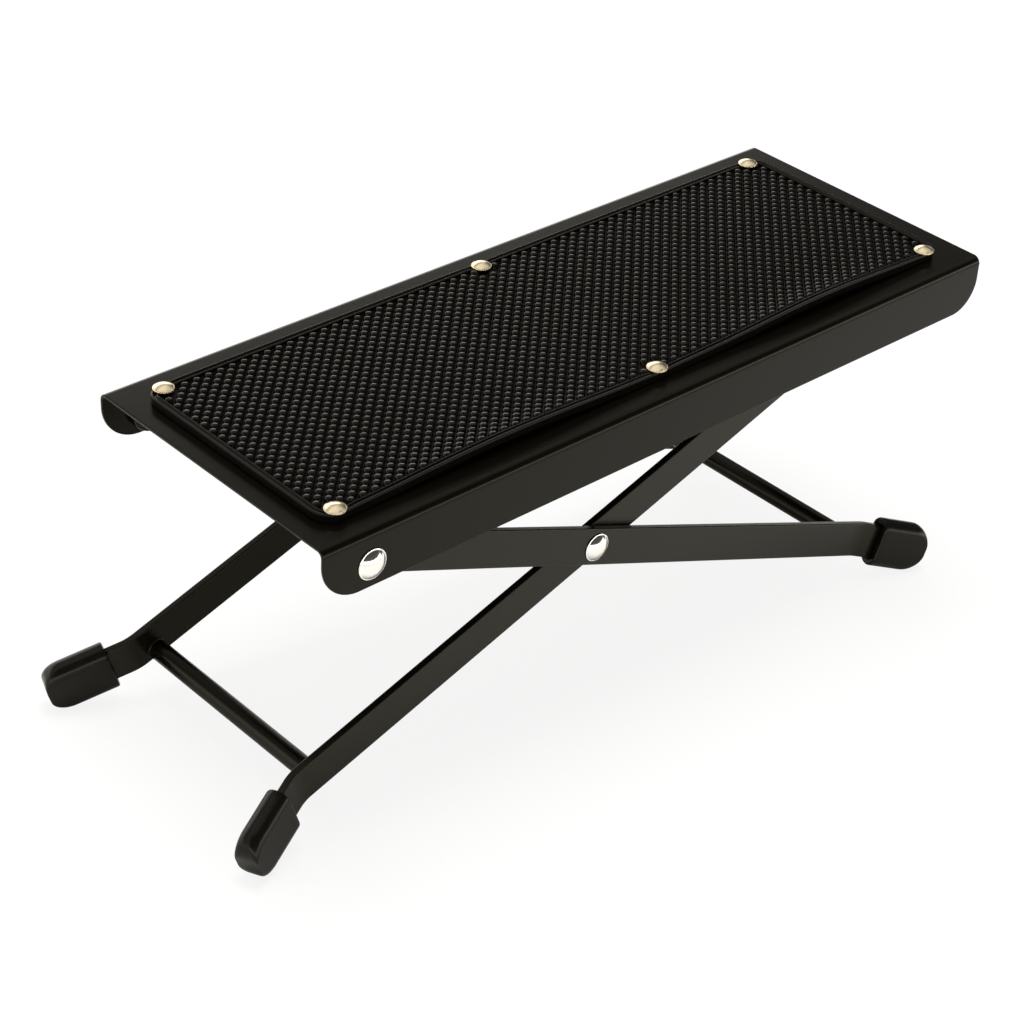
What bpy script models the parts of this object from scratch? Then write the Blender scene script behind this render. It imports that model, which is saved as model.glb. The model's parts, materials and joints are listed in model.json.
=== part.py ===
"""Folding footrest for a seated guitarist.

A folded steel tread with a riveted rubber mat stands on two crossing pairs of flat steel legs. The outer
legs turn on rivets in the tread's side flanges. The inner legs turn on rivets through the outer legs, and
the bar at their upper end latches in the notched racks under the tread, which sets the height.

Lengths are in metres and angles in degrees. +Z is up, +X points along the tread to its latch end, and -Y is
the near side. The origin is on the floor under the middle of the footrest.
"""

import math

import bmesh
import bpy
from mathutils import Matrix, Vector

# Gaps between pieces that touch, and the overrun of every cutter past what it cuts
SEAT_GAP = 0.0003
OVERRUN = 0.003

# Tread: one steel sheet folded down along both sides, open at both ends
TREAD_LENGTH = 0.265
TREAD_WIDTH = 0.1004
TREAD_SHEET = 0.001
TREAD_FOLD_RADIUS = 0.0025
FLANGE_DEPTH = 0.0177
FLANGE_PIVOT_END_RADIUS = 0.0125
FLANGE_LATCH_END_RADIUS = 0.0102

# Rubber mat: a raised rim round a field of pips, pressed down under the heads of its rivets
MAT_END_MARGIN = 0.0084
MAT_SIDE_MARGIN = 0.00945
MAT_LENGTH = TREAD_LENGTH - 2 * MAT_END_MARGIN
MAT_WIDTH = TREAD_WIDTH - 2 * MAT_SIDE_MARGIN
MAT_RIM_THICKNESS = 0.0026
MAT_RIM_WIDTH = 0.0023
MAT_RECESS_DEPTH = 0.0013
MAT_PRESS_DEPTH = 0.0005
MAT_CORNER_RADIUS = 0.006
MAT_SHIFT_X = -0.0014
MAT_SHIFT_Y = -0.0010
PIP_HEIGHT = 0.0012
PIP_PITCH_ALONG = 0.00416
PIP_PITCH_ACROSS = 0.00411

# Mat rivets: three along each side of the mat, with low domed heads
MAT_RIVET_HEAD_RADIUS = 0.0033
MAT_RIVET_HEAD_HEIGHT = 0.0014
MAT_RIVET_SHANK_RADIUS = 0.0009
MAT_RIVET_TAIL_RADIUS = 0.0020
MAT_RIVET_TAIL_HEIGHT = 0.0008
MAT_RIVET_TAIL_CHAMFER = 0.0002
MAT_RIVET_END_INSET = 0.0057
MAT_RIVET_SIDE_INSET = 0.00245

# Hinge rivets: large domed heads on the flanges and on the outer legs
HINGE_HEAD_RADIUS = 0.0047
HINGE_HEAD_HEIGHT = 0.0021
CROSS_HEAD_RADIUS = 0.0045
CROSS_HEAD_HEIGHT = 0.0020
HINGE_SHANK_RADIUS = 0.0025
HINGE_TAIL_RADIUS = 0.0040
HINGE_TAIL_HEIGHT = 0.0012
HINGE_TAIL_CHAMFER = 0.0004

# Fold geometry in the tread's own frame, at the lowest height setting
PIVOT_FROM_END = 0.0164
PIVOT_BELOW_TOP = 0.01045
PIVOT_TO_CROSS = 0.0991
OUTER_LEG_SLOPE = 22.45
INNER_LEG_SLOPE = 18.87

# Leg strips: flat bar with rounded long edges
STRIP_WIDTH = 0.012
STRIP_THICKNESS = 0.0024
STRIP_EDGE_RADIUS = 0.0004
STRIP_BEND_RADIUS = 0.0145
OUTER_LEG_INSET = 0.0072
UPPER_END_REACH = 0.0074

# Outer legs: a set-out at the flange end, and a foot that is bent outwards
OUTER_HOLE_RISE = 0.00065
OUTER_SET_OUT_START = 0.0062
OUTER_SET_OUT_SLOPE = 40.0
SET_OUT_BEND_RADIUS = 0.0042
OUTER_FOOT_BEND_FROM_CROSS = 0.1352
OUTER_FOOT_SPLAY = 16.7
OUTER_CAP_FROM_BEND = 0.0077

# Inner legs: straight up to the latch bar, with the foot bent outwards
INNER_FOOT_BEND_FROM_CROSS = 0.1141
INNER_FOOT_SPLAY = 21.1
INNER_CAP_FROM_BEND = 0.0074

# Foot caps: moulded rubber sleeves, fully rounded along the sides
CAP_LENGTH = 0.0203
CAP_WIDTH = 0.0172
CAP_THICKNESS = 0.0076
CAP_SIDE_RADIUS = 0.0037
CAP_CORNER_RADIUS = 0.0064
CAP_END_EDGE_RADIUS = 0.0008
CAP_END_WALL = 0.0030

# Cross rods: round bar welded between the strips of a pair
ROD_RADIUS = 0.0031
WELD_SIZE = 0.0012
OUTER_ROD_FROM_CROSS = 0.1293
INNER_ROD_FROM_CROSS = 0.1072
INNER_ROD_DROP = 0.0036

# Height racks: steel angle under the tread, notched for the latch bar
RACK_NOTCH_COUNT = 6
RACK_NOTCH_PITCH = 0.0091
RACK_NOTCH_DEPTH = 0.0040
RACK_THICKNESS = 0.0020
RACK_FOOT_WIDTH = 0.0080
RACK_END_MARGIN = 0.0040
RACK_INSET = 0.0220

# Facets, the distance under which points are merged, and the angles past which an edge counts as sharp
MERGE_DISTANCE = 0.00001
STRIP_SHARP_ANGLE = 60
CAP_SHARP_ANGLE = 35
LEVELLING_ROUNDS = 12
ROUND_STEPS = 28
ROD_STEPS = 20
HOLE_STEPS = 20
BEND_STEPS = 5
CORNER_STEPS = 6
DOME_STEPS = 6
WELD_STEPS = 3

NEAR = -1
FAR = 1
SIDES = (("near", NEAR), ("far", FAR))

# Start from an empty scene
for old in list(bpy.data.objects):
    bpy.data.objects.remove(old, do_unlink=True)

pieces = bpy.data.collections.new("guitar_footrest")
cutters = bpy.data.collections.new("cutters")
bpy.context.scene.collection.children.link(pieces)
bpy.context.scene.collection.children.link(cutters)


def look(name, colour, roughness, metallic):
    """Material with one Principled surface."""
    surface = bpy.data.materials.new(name)
    surface.use_nodes = True
    shader = surface.node_tree.nodes["Principled BSDF"]
    shader.inputs["Base Color"].default_value = (*colour, 1)
    shader.inputs["Roughness"].default_value = roughness
    shader.inputs["Metallic"].default_value = metallic
    surface.diffuse_color = (*colour, 1)
    return surface


def place(name, mesh, home, parent, location=(0, 0, 0), rotation=(0, 0, 0), surface=None):
    """Object for a mesh, in a collection, under its parent."""
    piece = bpy.data.objects.new(name, mesh)
    home.objects.link(piece)
    piece.parent = parent
    piece.location = location
    piece.rotation_euler = rotation
    if surface is not None:
        mesh.materials.clear()
        mesh.materials.append(surface)
    if home is cutters:
        piece.hide_render = True
        piece.display_type = "WIRE"
    return piece


def axis(name, parent, location, turn):
    """Empty whose local Y is a hinge axis, turned about it by an angle in degrees."""
    empty = bpy.data.objects.new(name, None)
    pieces.objects.link(empty)
    empty.parent = parent
    empty.location = location
    empty.rotation_euler = (0, math.radians(turn), 0)
    return empty


def to_mesh(name, shape):
    """Mesh data from a finished bmesh."""
    mesh = bpy.data.meshes.new(name)
    shape.to_mesh(mesh)
    shape.free()
    return mesh


def block(name, size, centre, along="z", corners=(), radii=()):
    """Cuboid. The edges along one axis are rounded at the corners given as (side, side) over the other two."""
    shape = bmesh.new()
    bmesh.ops.create_cube(shape, size=1, matrix=Matrix.Translation(centre) @ Matrix.Diagonal((*size, 1)))
    middle = Vector(centre)
    direction = "xyz".index(along)
    others = [n for n in range(3) if n != direction]
    for corner, radius in zip(corners, radii):
        picked = []
        for edge in shape.edges:
            run = edge.verts[1].co - edge.verts[0].co
            spot = (edge.verts[0].co + edge.verts[1].co) / 2 - middle
            is_along = abs(run[direction]) > abs(run[others[0]]) + abs(run[others[1]])
            if is_along and all(spot[n] * side > 0 for n, side in zip(others, corner)):
                picked.append(edge)
        bmesh.ops.bevel(shape, geom=picked, offset=radius, offset_type="OFFSET", segments=CORNER_STEPS,
                        profile=0.5, affect="EDGES")
    return to_mesh(name, shape)


def peg(name, radius, length):
    """Straight round cutter about the local Z axis, centred on the origin."""
    shape = bmesh.new()
    bmesh.ops.create_cone(shape, cap_ends=True, segments=HOLE_STEPS, radius1=radius, radius2=radius, depth=length)
    return to_mesh(name, shape)


def pip_recess(name, length, width, rivets):
    """Cutter for the recess of the mat, centred on the top of its rim, whose lower face has the pips in relief.

    The lower face is a grid with a pip in each cell, but for the ground round the rivets.
    """
    steps = (round(length / PIP_PITCH_ALONG), round(width / PIP_PITCH_ACROSS))
    clear = MAT_RIVET_HEAD_RADIUS + math.hypot(PIP_PITCH_ALONG, PIP_PITCH_ACROSS) / 2
    shape = bmesh.new()
    bmesh.ops.create_grid(shape, x_segments=steps[0], y_segments=steps[1], size=0.5,
                          matrix=Matrix.Translation((0, 0, -MAT_RECESS_DEPTH)) @ Matrix.Diagonal((length, width, 1, 1)))
    rim = [edge for edge in shape.edges if edge.is_boundary]
    cells = [cell for cell in shape.faces
             if all((cell.calc_center_median().xy - rivet).length > clear for rivet in rivets)]
    bmesh.ops.poke(shape, faces=cells, offset=PIP_HEIGHT)
    walls = bmesh.ops.extrude_edge_only(shape, edges=rim)["geom"]
    top = [piece for piece in walls if isinstance(piece, bmesh.types.BMVert)]
    bmesh.ops.translate(shape, verts=top, vec=(0, 0, MAT_RECESS_DEPTH + OVERRUN))
    bmesh.ops.contextual_create(shape, geom=[edge for edge in shape.edges if edge.is_boundary])
    bmesh.ops.recalc_face_normals(shape, faces=shape.faces)
    return to_mesh(name, shape)


def outline(name, points, thickness):
    """Flat piece: a filled outline in the local XY plane, thickened equally to both sides."""
    curve = bpy.data.curves.new(name + "_outline", "CURVE")
    curve.dimensions = "2D"
    curve.fill_mode = "BOTH"
    curve.extrude = thickness / 2
    spline = curve.splines.new("POLY")
    spline.points.add(len(points) - 1)
    for point, (x, y) in zip(spline.points, points):
        point.co = (x, y, 0, 1)
    spline.use_cyclic_u = True
    holder = bpy.data.objects.new(name + "_outline", curve)
    cutters.objects.link(holder)
    graph = bpy.context.evaluated_depsgraph_get()
    mesh = bpy.data.meshes.new_from_object(holder.evaluated_get(graph))
    shape = bmesh.new()
    shape.from_mesh(mesh)
    bmesh.ops.remove_doubles(shape, verts=shape.verts, dist=MERGE_DISTANCE)
    bmesh.ops.recalc_face_normals(shape, faces=shape.faces)
    shape.to_mesh(mesh)
    shape.free()
    mesh.name = name
    bpy.data.objects.remove(holder)
    return mesh


def turned(name, profile, steps, home, parent, location, rotation, surface=None, mesh=None):
    """Piece turned about its local Z axis from a profile of (radius, height), listed from top to bottom."""
    if mesh is None:
        shape = bmesh.new()
        points = [shape.verts.new((radius, 0, height)) for radius, height in profile]
        for first, second in zip(points, points[1:]):
            shape.edges.new((first, second))
        mesh = to_mesh(name, shape)
    piece = place(name, mesh, home, parent, location, rotation, surface)
    turn = piece.modifiers.new("turn", "SCREW")
    turn.axis = "Z"
    turn.angle = 2 * math.pi
    turn.steps = steps
    turn.render_steps = steps
    turn.use_merge_vertices = True
    turn.merge_threshold = MERGE_DISTANCE
    turn.use_smooth_shade = True
    return piece


def cut(piece, cutter, operation="DIFFERENCE"):
    """Boolean of a piece with a cutter."""
    change = piece.modifiers.new(operation.lower(), "BOOLEAN")
    change.operation = operation
    change.solver = "EXACT"
    change.object = cutter
    return change


def dome(radius, height):
    """Profile of a domed head over the plane at height zero, from its crown to its rim."""
    sphere = (radius ** 2 + height ** 2) / (2 * height)
    reach = math.asin(min(1, radius / sphere))
    angles = [reach * n / DOME_STEPS for n in range(DOME_STEPS + 1)]
    return [(sphere * math.sin(a), sphere * math.cos(a) - sphere + height) for a in angles]


def rivet_profile(head_radius, head_height, shank, grip, tail_radius, tail_height, chamfer):
    """Domed head above zero, shank through the grip, and a flat set tail below it."""
    points = dome(head_radius, head_height)
    points += [(shank, 0), (shank, -grip), (tail_radius, -grip)]
    points += [(tail_radius, chamfer - grip - tail_height), (tail_radius - chamfer, -grip - tail_height)]
    points.append((0, -grip - tail_height))
    return points


def rod_profile(half_length):
    """Round bar with a small concave weld fillet at both ends."""
    steps = [math.pi / 2 * n / WELD_STEPS for n in range(WELD_STEPS + 1)]
    upper = [(ROD_RADIUS + WELD_SIZE - WELD_SIZE * math.sin(a), half_length - WELD_SIZE + WELD_SIZE * math.cos(a))
             for a in steps]
    lower = [(radius, -height) for radius, height in reversed(upper)]
    return [(0, half_length)] + upper + lower + [(0, -half_length)]


def bent_line(corners, radii):
    """Points of a line through the corners, with each inner corner rounded to its radius."""
    line = [Vector(corners[0])]
    for before, corner, after, radius in zip(corners, corners[1:], corners[2:], radii):
        spot = Vector(corner)
        back = (Vector(before) - spot).normalized()
        ahead = (Vector(after) - spot).normalized()
        half = back.angle(ahead) / 2
        centre = spot + (back + ahead).normalized() * (radius / math.sin(half))
        start = spot + back * (radius / math.tan(half)) - centre
        end = spot + ahead * (radius / math.tan(half)) - centre
        sweep = math.atan2(start.x * end.y - start.y * end.x, start.dot(end))
        for n in range(BEND_STEPS + 1):
            line.append(centre + Matrix.Rotation(sweep * n / BEND_STEPS, 2) @ start)
    line.append(Vector(corners[-1]))
    return line


def strip(name, line, parent):
    """Flat bar along a line of (along, across) points, with a full round at its first end."""
    half = STRIP_WIDTH / 2
    heading = (line[1] - line[0]).normalized()
    shape = bmesh.new()
    round_end = []
    for n in range(-CORNER_STEPS, CORNER_STEPS + 1):
        angle = math.pi / 2 * n / CORNER_STEPS
        spot = line[0] + heading * (half - half * math.cos(angle))
        round_end.append(shape.verts.new((spot.x, spot.y, half * math.sin(angle))))
    shape.faces.new(reversed(round_end))
    rows = [(round_end[0], round_end[-1])]
    rows += [(shape.verts.new((point.x, point.y, -half)), shape.verts.new((point.x, point.y, half)))
             for point in line[1:]]
    for first, second in zip(rows, rows[1:]):
        shape.faces.new((first[0], second[0], second[1], first[1]))
    piece = place(name, to_mesh(name, shape), pieces, parent, surface=black_coat)
    plate = piece.modifiers.new("thickness", "SOLIDIFY")
    plate.thickness = STRIP_THICKNESS
    plate.offset = 0
    plate.use_even_offset = True
    edge = piece.modifiers.new("edges", "BEVEL")
    edge.width = STRIP_EDGE_RADIUS
    edge.segments = 2
    edge.limit_method = "ANGLE"
    edge.angle_limit = math.radians(STRIP_SHARP_ANGLE)
    return piece


def cap_mesh(name):
    """Sleeve along local X from its mouth at zero: thickness along Y, width along Z, one loft of sections."""
    half_width = CAP_WIDTH / 2
    half_thickness = CAP_THICKNESS / 2
    angles = [math.pi / 2 * n / CORNER_STEPS for n in range(CORNER_STEPS + 1)]
    sections = [(0, half_width, CAP_SIDE_RADIUS)]
    for angle in angles:
        along = CAP_LENGTH - CAP_CORNER_RADIUS + CAP_CORNER_RADIUS * math.sin(angle)
        wide = half_width - CAP_CORNER_RADIUS + CAP_CORNER_RADIUS * math.cos(angle)
        rounding = CAP_END_EDGE_RADIUS + (CAP_SIDE_RADIUS - CAP_END_EDGE_RADIUS) * math.cos(angle)
        sections.append((along, wide, rounding))
    shape = bmesh.new()
    rings = []
    for along, wide, rounding in sections:
        ring = []
        for quarter in range(4):
            turn = quarter * math.pi / 2
            side_y = half_thickness - rounding
            side_z = wide - rounding
            centre_y = side_y if quarter in (0, 3) else -side_y
            centre_z = side_z if quarter in (0, 1) else -side_z
            for angle in angles:
                ring.append(shape.verts.new((along, centre_y + rounding * math.cos(turn + angle),
                                             centre_z + rounding * math.sin(turn + angle))))
        rings.append(ring)
    for first, second in zip(rings, rings[1:]):
        for n in range(len(first)):
            m = (n + 1) % len(first)
            shape.faces.new((first[n], first[m], second[m], second[n]))
    shape.faces.new(rings[0])
    shape.faces.new(reversed(rings[-1]))
    bmesh.ops.recalc_face_normals(shape, faces=shape.faces)
    mesh = to_mesh(name, shape)
    mesh.shade_smooth()
    mesh.set_sharp_from_angle(angle=math.radians(CAP_SHARP_ANGLE))
    return mesh


black_coat = look("black_powder_coat", (0.020, 0.019, 0.016), 0.42, 0.0)
black_rubber = look("black_rubber", (0.012, 0.012, 0.012), 0.45, 0.0)
bright_steel = look("bright_plated_steel", (0.80, 0.80, 0.78), 0.12, 1.0)
pale_brass = look("pale_plated_brass", (0.74, 0.66, 0.50), 0.22, 1.0)

# The tread's frame: X from its pivot end, Y from its middle, Z from its top face
tread_frame = axis("tread_frame", None, (0, 0, 0), 0)
half_width = TREAD_WIDTH / 2

# Where the strips lie across the tread, as distances from the middle to each strip's centre
flange_inner = half_width - TREAD_SHEET
outer_end_centre = flange_inner - SEAT_GAP - STRIP_THICKNESS / 2
outer_centre = half_width - OUTER_LEG_INSET - STRIP_THICKNESS / 2
inner_centre = outer_centre - STRIP_THICKNESS - SEAT_GAP
outer_inner_face = outer_centre - STRIP_THICKNESS / 2
inner_inner_face = inner_centre - STRIP_THICKNESS / 2

# Hinge axes. The latch bar is as far from the cross hinge as the flange hinge is, so it moves in a straight
# line through the flange hinge while the footrest folds.
fold_axis = axis("fold_axis", tread_frame, (PIVOT_FROM_END, 0, -PIVOT_BELOW_TOP), OUTER_LEG_SLOPE)
outer_lean = math.degrees(math.asin(OUTER_HOLE_RISE / PIVOT_TO_CROSS))
outer_line = axis("outer_leg_line", fold_axis, (PIVOT_TO_CROSS, 0, 0), -outer_lean)
cross_axis = axis("cross_axis", fold_axis, (PIVOT_TO_CROSS, 0, 0), -OUTER_LEG_SLOPE - INNER_LEG_SLOPE)

# Tread: the folded sheet is drawn longer and deeper than it is, then trimmed to its side view
fold_angles = [math.pi / 2 * n / CORNER_STEPS for n in range(CORNER_STEPS + 1)]
fold_centre = half_width - TREAD_FOLD_RADIUS
section = [(half_width, -FLANGE_DEPTH - OVERRUN)]
for angle in fold_angles:
    section.append((fold_centre + TREAD_FOLD_RADIUS * math.cos(angle),
                    -TREAD_FOLD_RADIUS + TREAD_FOLD_RADIUS * math.sin(angle)))
section += [(-across, height) for across, height in reversed(section)]
sheet = bmesh.new()
rows = []
for across, height in section:
    rows.append((sheet.verts.new((-OVERRUN, across, height)), sheet.verts.new((TREAD_LENGTH + OVERRUN, across, height))))
for first, second in zip(rows, rows[1:]):
    sheet.faces.new((first[0], second[0], second[1], first[1]))
tread = place("top_plate", to_mesh("top_plate", sheet), pieces, tread_frame, surface=black_coat)
wall = tread.modifiers.new("sheet", "SOLIDIFY")
wall.thickness = TREAD_SHEET
wall.offset = -1
wall.use_even_offset = True
side_view = block("tread_side_view", (TREAD_LENGTH, TREAD_WIDTH + 2 * OVERRUN, FLANGE_DEPTH + OVERRUN),
                  (TREAD_LENGTH / 2, 0, (OVERRUN - FLANGE_DEPTH) / 2),
                  "y", ((NEAR, NEAR), (FAR, NEAR)), (FLANGE_PIVOT_END_RADIUS, FLANGE_LATCH_END_RADIUS))
cut(tread, place("tread_side_view", side_view, cutters, tread_frame), "INTERSECT")

# Mat: a block whose recess has the pips as its floor, clear of the rivet heads
mat_middle = (TREAD_LENGTH / 2 + MAT_SHIFT_X, MAT_SHIFT_Y)
mat_corners = ((NEAR, NEAR), (NEAR, FAR), (FAR, NEAR), (FAR, FAR))
rim_top = SEAT_GAP + MAT_RIM_THICKNESS
pressed_top = rim_top - MAT_PRESS_DEPTH
rivet_reach = MAT_LENGTH / 2 - MAT_RIVET_END_INSET
rivet_side = MAT_WIDTH / 2 - MAT_RIVET_SIDE_INSET
rivet_spots = {}
for side_name, side in SIDES:
    for end_name, along in (("left", -rivet_reach), ("middle", 0), ("right", rivet_reach)):
        rivet_spots["%s_%s" % (side_name, end_name)] = Vector((along, side * rivet_side))
mat = place("rubber_mat",
            block("rubber_mat", (MAT_LENGTH, MAT_WIDTH, MAT_RIM_THICKNESS),
                  (*mat_middle, SEAT_GAP + MAT_RIM_THICKNESS / 2), "z", mat_corners, (MAT_CORNER_RADIUS,) * 4),
            pieces, tread_frame, surface=black_rubber)
recess = pip_recess("mat_recess", MAT_LENGTH - 2 * MAT_RIM_WIDTH, MAT_WIDTH - 2 * MAT_RIM_WIDTH, rivet_spots.values())
cut(mat, place("mat_recess", recess, cutters, tread_frame, (*mat_middle, rim_top)))

# Mat rivets. Under each head the mat is a pad pressed below the rim, and the shank's hole goes on through the tread.
mat_grip = SEAT_GAP * 2 + pressed_top + TREAD_SHEET
mat_rivet_profile = rivet_profile(MAT_RIVET_HEAD_RADIUS, MAT_RIVET_HEAD_HEIGHT, MAT_RIVET_SHANK_RADIUS, mat_grip,
                                  MAT_RIVET_TAIL_RADIUS, MAT_RIVET_TAIL_HEIGHT, MAT_RIVET_TAIL_CHAMFER)
mat_rivet_mesh = None
mat_hole_mesh = peg("mat_rivet_hole", MAT_RIVET_SHANK_RADIUS + SEAT_GAP, 2 * (rim_top + TREAD_SHEET + OVERRUN))
pad_mesh = peg("mat_pad", MAT_RIVET_HEAD_RADIUS, MAT_RECESS_DEPTH)
press_mesh = peg("mat_press", MAT_RIVET_HEAD_RADIUS + SEAT_GAP, OVERRUN)
for spot_name, offset in rivet_spots.items():
    spot = Vector(mat_middle) + offset
    name = "mat_rivet_" + spot_name
    rivet = turned(name, mat_rivet_profile, ROD_STEPS, pieces, tread_frame,
                   (*spot, pressed_top + SEAT_GAP), (0, 0, 0), pale_brass, mat_rivet_mesh)
    mat_rivet_mesh = rivet.data
    pad = place(name + "_pad", pad_mesh, cutters, tread_frame, (*spot, rim_top - (MAT_PRESS_DEPTH + MAT_RECESS_DEPTH) / 2))
    cut(mat, pad, "UNION")
    cut(mat, place(name + "_press", press_mesh, cutters, tread_frame, (*spot, pressed_top + OVERRUN / 2)))
    hole = place(name + "_hole", mat_hole_mesh, cutters, tread_frame, (*spot, 0))
    cut(mat, hole)
    cut(tread, hole)

# Height racks: the lower edge follows the latch bar's path, with a notch for each height setting
bar_gap = ROD_RADIUS + SEAT_GAP
rest_fold = math.radians((OUTER_LEG_SLOPE + INNER_LEG_SLOPE) / 2)
path_dip = math.radians((OUTER_LEG_SLOPE - INNER_LEG_SLOPE) / 2)
rest_reach = 2 * PIVOT_TO_CROSS * math.cos(rest_fold)
path_along = Vector((math.cos(path_dip), -math.sin(path_dip)))
path_up = Vector((math.sin(path_dip), math.cos(path_dip)))
rack_top = -TREAD_SHEET - SEAT_GAP
lower_edge = []
for n in range(RACK_NOTCH_COUNT):
    centre = rest_reach - n * RACK_NOTCH_PITCH
    lower_edge.append((centre + bar_gap, bar_gap))
    for k in range(CORNER_STEPS + 1):
        angle = math.pi * k / CORNER_STEPS
        lower_edge.append((centre + bar_gap * math.cos(angle), RACK_NOTCH_DEPTH + bar_gap * math.sin(angle)))
    lower_edge.append((centre - bar_gap, bar_gap))
lower_edge.insert(0, (rest_reach + bar_gap + RACK_END_MARGIN, bar_gap))
lower_edge.append((lower_edge[-1][0] - RACK_END_MARGIN, bar_gap))
rack_points = []
for reach, rise in lower_edge:
    spot = path_along * reach + path_up * rise
    rack_points.append((PIVOT_FROM_END + spot.x, spot.y - PIVOT_BELOW_TOP))
rack_end = rack_points[0][0]
rack_start = rack_points[-1][0]
rack_points = [(rack_end, rack_top)] + rack_points + [(rack_start, rack_top)]
rack_web = outline("height_rack", rack_points, RACK_THICKNESS)
for side_name, side in SIDES:
    web_place = side * (half_width - RACK_INSET)
    rack = place("height_rack_" + side_name, rack_web.copy(), pieces, tread_frame, (0, web_place, 0),
                 (math.pi / 2, 0, 0), black_coat)
    foot = block("rack_foot_" + side_name, (rack_end - rack_start, RACK_THICKNESS, RACK_FOOT_WIDTH),
                 ((rack_end + rack_start) / 2, rack_top - RACK_THICKNESS / 2,
                  side * (RACK_FOOT_WIDTH - RACK_THICKNESS) / 2))
    cut(rack, place("rack_foot_" + side_name, foot, cutters, tread_frame, (0, web_place, 0),
                    (math.pi / 2, 0, 0)), "UNION")
bpy.data.meshes.remove(rack_web)

# Flange hinge rivets, each through a flange and the set-out end of an outer leg
hinge_grip = TREAD_SHEET + STRIP_THICKNESS + SEAT_GAP * 3
hinge_profile = rivet_profile(HINGE_HEAD_RADIUS, HINGE_HEAD_HEIGHT, HINGE_SHANK_RADIUS, hinge_grip,
                              HINGE_TAIL_RADIUS, HINGE_TAIL_HEIGHT, HINGE_TAIL_CHAMFER)
hinge_hole = peg("hinge_hole", HINGE_SHANK_RADIUS + SEAT_GAP, STRIP_THICKNESS + TREAD_SHEET + 2 * OVERRUN)
cross_grip = STRIP_THICKNESS * 2 + SEAT_GAP * 3
cross_profile = rivet_profile(CROSS_HEAD_RADIUS, CROSS_HEAD_HEIGHT, HINGE_SHANK_RADIUS, cross_grip,
                              HINGE_TAIL_RADIUS, HINGE_TAIL_HEIGHT, HINGE_TAIL_CHAMFER)
cross_hole = peg("cross_hole", HINGE_SHANK_RADIUS + SEAT_GAP, STRIP_THICKNESS * 2 + 2 * OVERRUN)
cap_shape = cap_mesh("foot_cap")
strip_in_cap = CAP_LENGTH - CAP_END_WALL - SEAT_GAP
slot = block("cap_slot", (strip_in_cap + SEAT_GAP + OVERRUN, STRIP_THICKNESS + 2 * SEAT_GAP,
                          STRIP_WIDTH + 2 * SEAT_GAP), ((strip_in_cap + SEAT_GAP - OVERRUN) / 2, 0, 0))


def foot_end(bend_from_cross, centre, splay, cap_from_bend, way, side):
    """Bend corner, cap mouth and strip end as (along, across) points, and the direction of the foot."""
    ahead = Vector((way * math.cos(math.radians(splay)), side * math.sin(math.radians(splay))))
    corner = Vector((way * bend_from_cross, side * centre))
    mouth = corner + ahead * cap_from_bend
    return corner, mouth, mouth + ahead * strip_in_cap, math.atan2(ahead.y, ahead.x)


def foot_cap(name, mouth, heading, parent):
    """Cap on a foot, with the slot that the strip sits in."""
    place_at = (mouth.x, mouth.y, 0)
    cap = place(name, cap_shape, pieces, parent, place_at, (0, 0, heading), black_rubber)
    cut(cap, place(name + "_slot", slot, cutters, parent, place_at, (0, 0, heading)))
    return cap


# Distance along the strip that the two bends and the slope of the set-out take
set_out = outer_end_centre - outer_centre
set_out_slope = math.radians(OUTER_SET_OUT_SLOPE)
set_out_run = set_out / math.tan(set_out_slope)
pivot_along = -math.sqrt(PIVOT_TO_CROSS ** 2 - OUTER_HOLE_RISE ** 2)
caps = []
for side_name, side in SIDES:
    outward = (-side * math.pi / 2, 0, 0)
    rivet = turned("pivot_rivet_" + side_name, hinge_profile, ROUND_STEPS, pieces, tread_frame,
                   (PIVOT_FROM_END, side * (half_width + SEAT_GAP), -PIVOT_BELOW_TOP), outward, bright_steel)
    flange_hole = place("flange_hole_" + side_name, hinge_hole, cutters, fold_axis,
                        (0, side * (flange_inner - SEAT_GAP), 0), outward)
    cut(tread, flange_hole)

    # Outer leg, from its flange hinge to its foot
    corner, mouth, tip, heading = foot_end(OUTER_FOOT_BEND_FROM_CROSS, outer_centre, OUTER_FOOT_SPLAY,
                                           OUTER_CAP_FROM_BEND, 1, side)
    outer_corners = [(pivot_along - UPPER_END_REACH, side * outer_end_centre),
                     (pivot_along + OUTER_SET_OUT_START, side * outer_end_centre),
                     (pivot_along + OUTER_SET_OUT_START + set_out_run, side * outer_centre),
                     corner, tip]
    outer = strip("outer_leg_" + side_name,
                  bent_line(outer_corners, (SET_OUT_BEND_RADIUS, SET_OUT_BEND_RADIUS, STRIP_BEND_RADIUS)), outer_line)
    cut(outer, flange_hole)
    cross_cutter = place("cross_hole_" + side_name, cross_hole, cutters, outer_line,
                         (0, side * (outer_centre + inner_centre) / 2, 0), outward)
    cut(outer, cross_cutter)
    caps.append(foot_cap("outer_foot_cap_" + side_name, mouth, heading, outer_line))

    # Cross rivet, through both legs
    turned("cross_rivet_" + side_name, cross_profile, ROUND_STEPS, pieces, outer_line,
           (0, side * (outer_centre + STRIP_THICKNESS / 2 + SEAT_GAP), 0), outward, bright_steel)

    # Inner leg, from its latch end to its foot
    corner, mouth, tip, heading = foot_end(INNER_FOOT_BEND_FROM_CROSS, inner_centre, INNER_FOOT_SPLAY,
                                           INNER_CAP_FROM_BEND, -1, side)
    inner_corners = [(PIVOT_TO_CROSS + UPPER_END_REACH, side * inner_centre), corner, tip]
    inner = strip("inner_leg_" + side_name, bent_line(inner_corners, (STRIP_BEND_RADIUS,)), cross_axis)
    cut(inner, cross_cutter)
    caps.append(foot_cap("inner_foot_cap_" + side_name, mouth, heading, cross_axis))

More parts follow.
